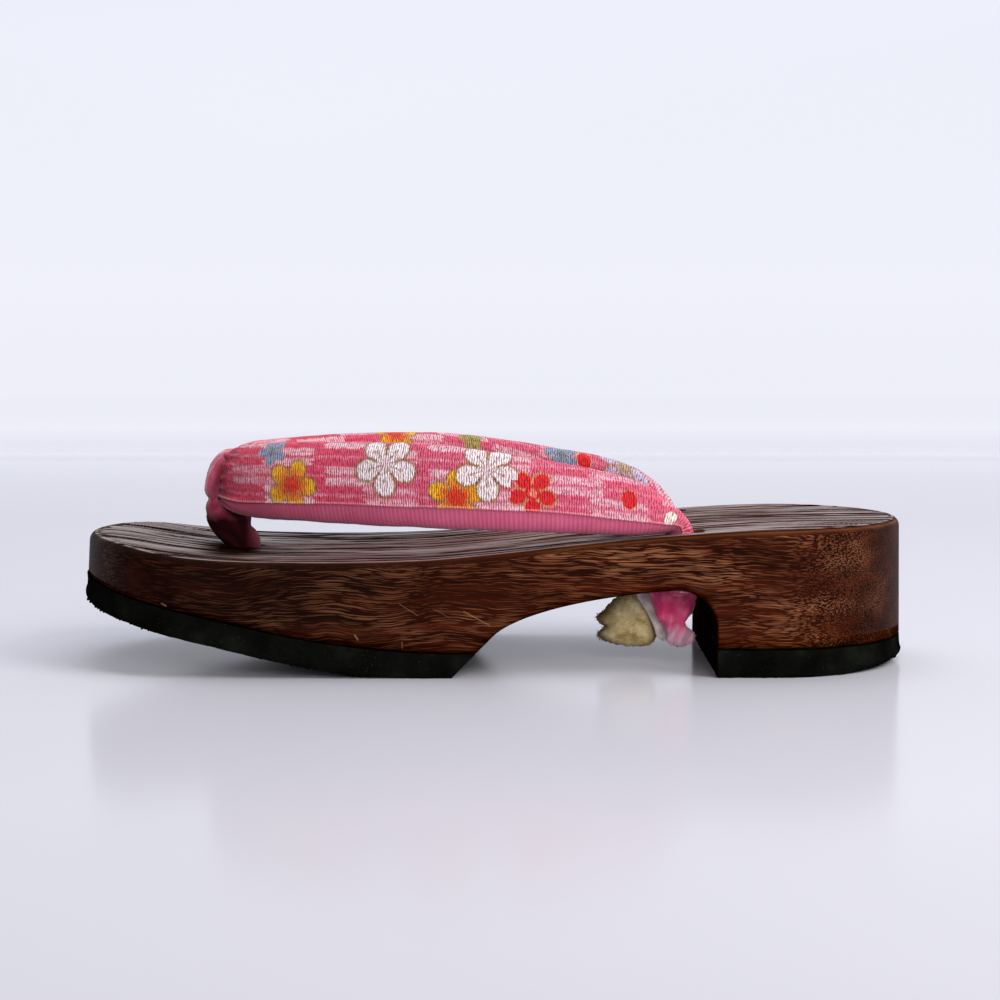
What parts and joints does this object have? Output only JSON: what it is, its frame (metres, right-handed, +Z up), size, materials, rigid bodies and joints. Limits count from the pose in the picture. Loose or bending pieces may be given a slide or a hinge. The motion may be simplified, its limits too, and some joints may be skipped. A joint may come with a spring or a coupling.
{
  "type": "geta sandal",
  "caption": "Wooden geta sandal with a scooped arch, rubber soles and a padded flower-print cloth strap held by a toe loop.",
  "frame": {"origin": "on the floor under the middle of the sandal's length and width", "axes": "+X from the toe to the heel, +Y across the sandal, +Z up from the floor to the deck"},
  "size_m": [0.2402, 0.0924, 0.0646],
  "materials": {
    "stained_wood": "satin",
    "black_rubber": "matte",
    "print_crepe": "matte",
    "pink_cloth": "matte",
    "core_felt": "matte"
  },
  "bodies": {
    "root": {"wood_base": "stained_wood", "front_outsole": "black_rubber", "heel_outsole": "black_rubber", "straps": "print_crepe", "toe_loop": "pink_cloth", "rear_tie": "pink_cloth", "core_end": "core_felt"}
  },
  "joints": []
}
